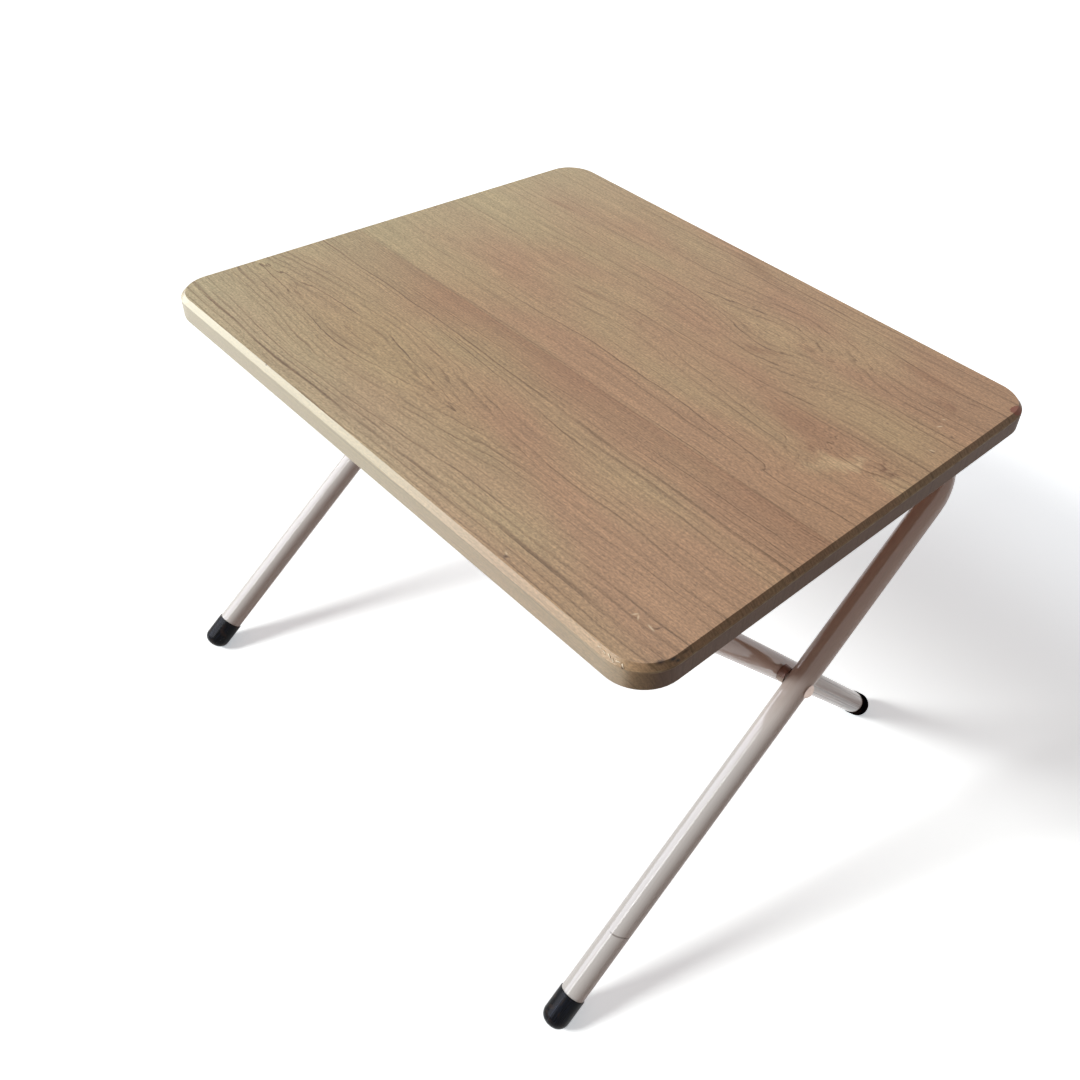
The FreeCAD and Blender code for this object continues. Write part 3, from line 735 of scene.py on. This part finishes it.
def foil_flake(number, along_mm, inset_mm, length_mm, width_mm, lean, lift_mm):
    """One sliver of foil on the front bevel, tapered and curled up towards one end."""
    bpy.ops.object.select_all(action="DESELECT")
    bpy.ops.mesh.primitive_grid_add(x_subdivisions=FLAKE_ROWS, y_subdivisions=2, size=1.0)
    flake = bpy.context.object
    flake.name = f"foil_flake_{number}"
    bpy.ops.object.mode_set(mode="EDIT")
    bpy.ops.mesh.select_mode(type="VERT")
    bpy.ops.mesh.select_all(action="SELECT")
    bpy.ops.transform.resize(value=(length_mm * MM, width_mm * MM, 1.0))
    tiny = 0.01 * MM
    select_points(flake.data, lambda place: abs(place.y) < tiny)
    bpy.ops.transform.translate(value=(0, 0, FLAKE_CROWN_MM * MM))
    for row in range(1, FLAKE_ROWS + 1):
        share = row / FLAKE_ROWS
        row_x = (share - 0.5) * length_mm * MM
        select_points(flake.data, lambda place: abs(place.x - row_x) < tiny)
        bpy.ops.transform.resize(value=(1.0, 1.0 - FLAKE_TAPER * share, 1.0))
        bpy.ops.transform.translate(value=(0, 0, lift_mm * MM * share ** 2))
    bpy.ops.object.mode_set(mode="OBJECT")
    # Past the start of the rounded corner the bevel turns away along an arc.
    past_corner = max(along_mm * MM - (foil_high.x - CORNER_RADIUS_MM * MM), 0.0)
    turned = math.asin(past_corner / (CORNER_RADIUS_MM * MM))
    edge = Vector((along_mm * MM, foil_low.y + CORNER_RADIUS_MM * MM * (1 - math.cos(turned)), board_top))
    inward = Vector((-math.sin(turned), math.cos(turned), 0)) * inset_mm * MM
    down = Vector((0, 0, (inset_mm - BEVEL_MM) * MM))
    on_bevel = Matrix.Rotation(turned, 4, "Z") @ Matrix.Rotation(BEVEL_SLOPE, 4, "X")
    on_bevel = on_bevel @ Matrix.Rotation(math.radians(lean), 4, "Z")
    flake.matrix_world = Matrix.Translation(edge + inward + down) @ on_bevel
    bpy.ops.object.transform_apply(location=True, rotation=True, scale=True)
    thicken = flake.modifiers.new("thickness", "SOLIDIFY")
    thicken.thickness = FLAKE_THICKNESS_MM * MM
    thicken.offset = 1.0
    bpy.ops.object.modifier_apply(modifier="thickness")
    soften = flake.modifiers.new("soft", "SUBSURF")
    soften.levels = soften.render_levels = 2
    bpy.ops.object.modifier_apply(modifier="soft")
    bpy.ops.object.shade_smooth()
    flake.data.materials.append(flake_finish)
    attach(flake, "table_top")
    return flake


flakes = [foil_flake(number + 1, *sizes) for number, sizes in enumerate((
    # place along the edge and in from it, length and width, lean, lift
    (215.6, 2.2, 3.2, 0.7, 4, 0.3),
    (219.4, 1.8, 2.6, 0.9, 160, 0.4),
    (223.2, 1.9, 3.0, 1.1, -22, 0.5),
    (226.4, 1.4, 2.4, 0.9, 128, 0.5),
    (229.6, 1.8, 3.0, 1.0, 10, 0.4),
    (232.6, 1.0, 2.6, 1.0, -50, 0.5),
))]
print(len(flakes), "flakes, each of", len(flakes[0].data.polygons), "faces")

# %% [markdown]
# Under the foil the board is pressed wood fibre. It shows only where the foil ends, along the
# lower edge, and where a corner is chipped: brown, matt and mottled with short fibres. The paper
# glued to the underside doesn't show. Its brown is a guess from the legs, which are pinkish high
# up, where they see little else.

# %% The board's core and its backing paper
core = mottled_finish("pressed_fibreboard", "#5C402D", "#8A6547",
                      {"Scale": 900.0, "Detail": 4.0}, Roughness=0.9)
backing = mottled_finish("brown_kraft_paper", "#8A5F47", "#A5795C",
                         {"Scale": 60.0, "Detail": 6.0, "Roughness": 0.7}, Roughness=0.8)
dress(core, "board_core")
dress(backing, "board_backing")
print("board", [round(v / MM) for v in foil_high - foil_low], "mm, in", core.name, "and", backing.name)

# %% [markdown]
# The legs are steel tube under thick off-white stove enamel: glossy, a little wavy, with fine scratches
# along the tube where the frames have rubbed in folding. It is a cool white near the floor. Under the
# board it is painted pinker, as painted brown bounce light from the board, on top of the brown light that
# it gets from there. Low on the outer legs a hairline crack runs part of the way round. Low on the inner
# ones the rubbing has left long grey streaks.

# %% The legs' gloss paint
LEG_RADIUS_MM = 9.5
BOUNCE_TINT_ENDS_MM = 150.0
WHITE_STARTS_MM = 290.0
CRACK_MM = 426.0
CRACK_DIP_PER_MM = 0.035


def gloss_paint(name, lean, bar, leg_x, crack_mm, streak_strength):
    """Off-white enamel on a pair of legs that lean by this angle from their crossbar. The crack's
    place, if there is one, is counted down the leg from the bar. The streaks are strongest at
    the foot."""
    material, tree = new_finish(name)
    spot = add(tree, "TexCoord").outputs["Object"]
    to_mm = add(tree, "Mapping", {"Vector": spot, "Location": tuple(-bar / MM),
                                  "Scale": (1 / MM, 1 / MM, 1 / MM)})
    on_leg = add(tree, "Mapping", {"Vector": to_mm, "Rotation": (lean, 0, 0)})
    leg = add(tree, "SeparateXYZ", {0: on_leg}).outputs
    down = add(tree, "Math", {0: leg["Z"], 1: -1.0}, operation="MULTIPLY")
    # Painted bounce light: high up, under the board, the enamel is tinted pink.
    low_down = add(tree, "MapRange", {"Value": down, "From Min": BOUNCE_TINT_ENDS_MM,
                                      "From Max": WHITE_STARTS_MM},
                   interpolation_type="SMOOTHSTEP")
    enamel = add(tree, "Mix", {"Factor": low_down, "A": linear("#DCCBC2"), "B": linear("#D8D5D4")},
                 data_type="RGBA").outputs["Result"]
    lengthways = add(tree, "Mapping", {"Vector": on_leg, "Scale": (0.9, 0.9, 0.012)})
    scratches = add(tree, "TexNoise", {"Vector": lengthways, "Scale": 1.0, "Detail": 3.0}).outputs["Fac"]
    fine = add(tree, "MapRange", {"Value": scratches, "From Min": 0.55, "From Max": 0.75,
                                  "To Max": 0.35})
    enamel = tinted_in(tree, enamel, fine, "#C4BAB2", 1.0)
    broad = add(tree, "Mapping", {"Vector": on_leg, "Scale": (0.42, 0.42, 0.004)})
    rubs = add(tree, "TexNoise", {"Vector": broad, "Scale": 1.0, "Detail": 2.0}).outputs["Fac"]
    dark_rubs = add(tree, "MapRange", {"Value": rubs, "From Min": 0.50, "From Max": 0.62})
    dark_rubs = add(tree, "Math", {0: dark_rubs, 1: low_down}, operation="MULTIPLY")
    enamel = tinted_in(tree, enamel, dark_rubs, "#746A6C", streak_strength)
    if crack_mm:
        # The crack dips a little as it goes round the right-hand side of the leg.
        sideways = add(tree, "Math", {0: leg["X"], 1: -leg_x / MM}, operation="ADD")
        dip = add(tree, "Math", {0: sideways, 1: sideways}, operation="MULTIPLY")
        dip = add(tree, "Math", {0: dip, 1: CRACK_DIP_PER_MM, 2: down},
                  operation="MULTIPLY_ADD")
        crack = line_at(tree, dip, crack_mm, 0.75, 0.25)
        round_side = add(tree, "MapRange", {"Value": sideways, "From Min": -2.0, "From Max": 0.0})
        crack = add(tree, "Math", {0: crack, 1: round_side}, operation="MULTIPLY")
        enamel = tinted_in(tree, enamel, crack, "#6E6259", 0.7)
    waves = add(tree, "TexNoise", {"Vector": on_leg, "Scale": 0.22, "Detail": 2.0}).outputs["Fac"]
    skin = add(tree, "Bump", {"Strength": 0.15, "Distance": 0.1 * MM, "Height": waves})
    shader = add(tree, "BsdfPrincipled", {"Base Color": enamel, "Roughness": 0.08, "IOR": 1.5,
                                          "Normal": skin})
    add(tree, "OutputMaterial", {"Surface": shader})
    print(name, "leans", round(math.degrees(lean), 1), "degrees")
    return material


pivot_low, pivot_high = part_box("pivot_spacer_right")
pivot = (pivot_low + pivot_high) / 2
outer_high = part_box("outer_frame")[1]
inner_low, inner_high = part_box("inner_frame")
outer_bar = Vector((0, outer_high.y - LEG_RADIUS_MM * MM, outer_high.z - LEG_RADIUS_MM * MM))
inner_bar = Vector((0, inner_low.y + LEG_RADIUS_MM * MM, inner_high.z - LEG_RADIUS_MM * MM))
outer_lean = math.atan2(outer_bar.y - pivot.y, outer_bar.z - pivot.z)
inner_lean = math.atan2(inner_bar.y - pivot.y, inner_bar.z - pivot.z)
outer_leg_x = outer_high.x - LEG_RADIUS_MM * MM
inner_leg_x = inner_high.x - LEG_RADIUS_MM * MM
dress(gloss_paint("gloss_paint_outer", outer_lean, outer_bar, outer_leg_x, CRACK_MM, 0.0), "outer_frame")
dress(gloss_paint("gloss_paint_inner", inner_lean, inner_bar, inner_leg_x, None, 0.80), "inner_frame")

# %% [markdown]
# Each foot is a moulded rubber cap, blue-black and satin. The two halves of its mould met in the
# plane of the leg, which leaves a thin raised line down the cap. Fine lines run along it from
# being pulled out of the mould, and the toe is scratched pale where it drags on the floor. The
# back caps stand in the table's shadow and look pure black, so they are given no gloss at all.

# %% The moulded caps
def moulded_rubber(name, lean, leg_x, gloss, roughness):
    """Black rubber for a pair of caps on legs that lean by this angle, at this distance each side."""
    material, tree = new_finish(name)
    spot = add(tree, "TexCoord").outputs["Object"]
    to_mm = add(tree, "Mapping", {"Vector": spot, "Scale": (1 / MM, 1 / MM, 1 / MM)})
    on_leg = add(tree, "Mapping", {"Vector": to_mm, "Rotation": (lean, 0, 0)})
    leg = add(tree, "SeparateXYZ", {0: on_leg}).outputs
    upright = add(tree, "SeparateXYZ", {0: to_mm}).outputs
    lengthways = add(tree, "Mapping", {"Vector": on_leg, "Scale": (1.1, 1.1, 0.05)})
    drawn = add(tree, "TexNoise", {"Vector": lengthways, "Scale": 1.0, "Detail": 3.0}).outputs["Fac"]
    drawn_share = add(tree, "MapRange", {"Value": drawn, "From Min": 0.48, "From Max": 0.72})
    black = add(tree, "Mix", {"Factor": drawn_share, "A": linear("#05060A"), "B": linear("#171C2A")},
                data_type="RGBA").outputs["Result"]
    side = add(tree, "Math", {0: leg["X"]}, operation="ABSOLUTE")
    seam = line_at(tree, side, leg_x / MM, 0.55, 0.15)
    black = tinted_in(tree, black, seam, "#2B303C", 0.8)
    scattered = add(tree, "Mapping", {"Vector": to_mm, "Rotation": (0.7, 0.4, 0.3),
                                      "Scale": (1.4, 0.18, 0.9)})
    scratch = add(tree, "TexNoise", {"Vector": scattered, "Scale": 1.0, "Detail": 2.0}).outputs["Fac"]
    scratch = add(tree, "MapRange", {"Value": scratch, "From Min": 0.66, "From Max": 0.74})
    toe = add(tree, "MapRange", {"Value": upright["Z"], "From Min": 16.0, "From Max": 7.0})
    scratch = add(tree, "Math", {0: scratch, 1: toe}, operation="MULTIPLY")
    black = tinted_in(tree, black, scratch, "#8D8F92", 0.75)
    cloud = add(tree, "TexNoise", {"Vector": to_mm, "Scale": 0.16, "Detail": 2.0}).outputs["Fac"]
    scuff = add(tree, "MapRange", {"Value": cloud, "From Min": 0.54, "From Max": 0.68})
    black = tinted_in(tree, black, scuff, "#3A2C26", 0.6)
    height = add(tree, "Math", {0: seam, 1: 2.0, 2: drawn}, operation="MULTIPLY_ADD")
    relief = add(tree, "Bump", {"Strength": 0.5, "Distance": 0.1 * MM, "Height": height})
    shader = add(tree, "BsdfPrincipled", {"Base Color": black, "Roughness": roughness,
                                          "Specular IOR Level": gloss, "Normal": relief})
    add(tree, "OutputMaterial", {"Surface": shader})
    return material


dress(moulded_rubber("moulded_rubber_front", outer_lean, outer_leg_x, 0.10, 0.27), *both("foot_cap_front"))
dress(moulded_rubber("moulded_rubber_back", inner_lean, inner_leg_x, 0.0, 0.80), *both("foot_cap_back"))
cap_low, cap_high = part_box("foot_cap_front_right")
print("caps", [round(v / MM, 1) for v in cap_high - cap_low], "mm")

# %% [markdown]
# The small hardware: softly mottled grey zinc on the straps, screws and washers, a warmer steel
# on the rivets, whose heads mirror the brown of the board, and milky nylon clips.

# %% Zinc-plated steel, bright rivets and nylon clips
FINE_RELIEF = (0.2, 0.05)
zinc = mottled_finish("zinc_plated_steel", "#9A9A96", "#C9C9C2", {"Scale": 500.0, "Detail": 4.0},
                      FINE_RELIEF, Metallic=1.0, Roughness=0.38)
rivet_steel = mottled_finish("bright_rivet_steel", "#B9A49A", "#CDBDB4", {"Scale": 400.0, "Detail": 4.0},
                             FINE_RELIEF, Metallic=1.0, Roughness=0.45)
nylon = mottled_finish("moulded_white_nylon", "#D8D5CC", "#E6E4DD", {"Scale": 300.0, "Detail": 4.0},
                       FINE_RELIEF, Roughness=0.45)
dress(zinc, "strap_screws", "clip_screws", *both("hinge_strap"), *both("pivot_washer"))
dress(rivet_steel, *both("pivot_rivet"))
dress(nylon, *both("catch_clip"))
print("hardware finishes:", zinc.name, rivet_steel.name, nylon.name)

# %% [markdown]
# The bush between the two legs at the pivot is a short moulded tube, pale and speckled. Its upper half is
# painted a reddish brown, as painted shade.

# %% The pivot bushes
bush, tree = new_finish("moulded_pale_bush")
spot = add(tree, "TexCoord").outputs["Object"]
height = add(tree, "SeparateXYZ", {0: spot}).outputs["Z"]
specks = add(tree, "TexNoise", {"Vector": spot, "Scale": 900.0, "Detail": 3.0}).outputs["Fac"]
pale = add(tree, "Mix", {"Factor": specks, "A": linear("#A89486"), "B": linear("#E4DBD2")},
           data_type="RGBA").outputs["Result"]
# Painted shade: the upper half is tinted reddish brown.
upper_shade = add(tree, "Math", {0: specks, 1: 6 * MM, 2: height}, operation="MULTIPLY_ADD")
upper_shade = add(tree, "MapRange", {"Value": upper_shade, "From Min": pivot.z + 3.5 * MM,
                               "From Max": pivot.z + 6 * MM})
toned = tinted_in(tree, pale, upper_shade, "#83503F", 0.85)
shader = add(tree, "BsdfPrincipled", {"Base Color": toned, "Roughness": 0.5})
add(tree, "OutputMaterial", {"Surface": shader})
dress(bush, *both("pivot_spacer"))
print("bush", [round(v / MM, 1) for v in pivot_high - pivot_low], "mm")
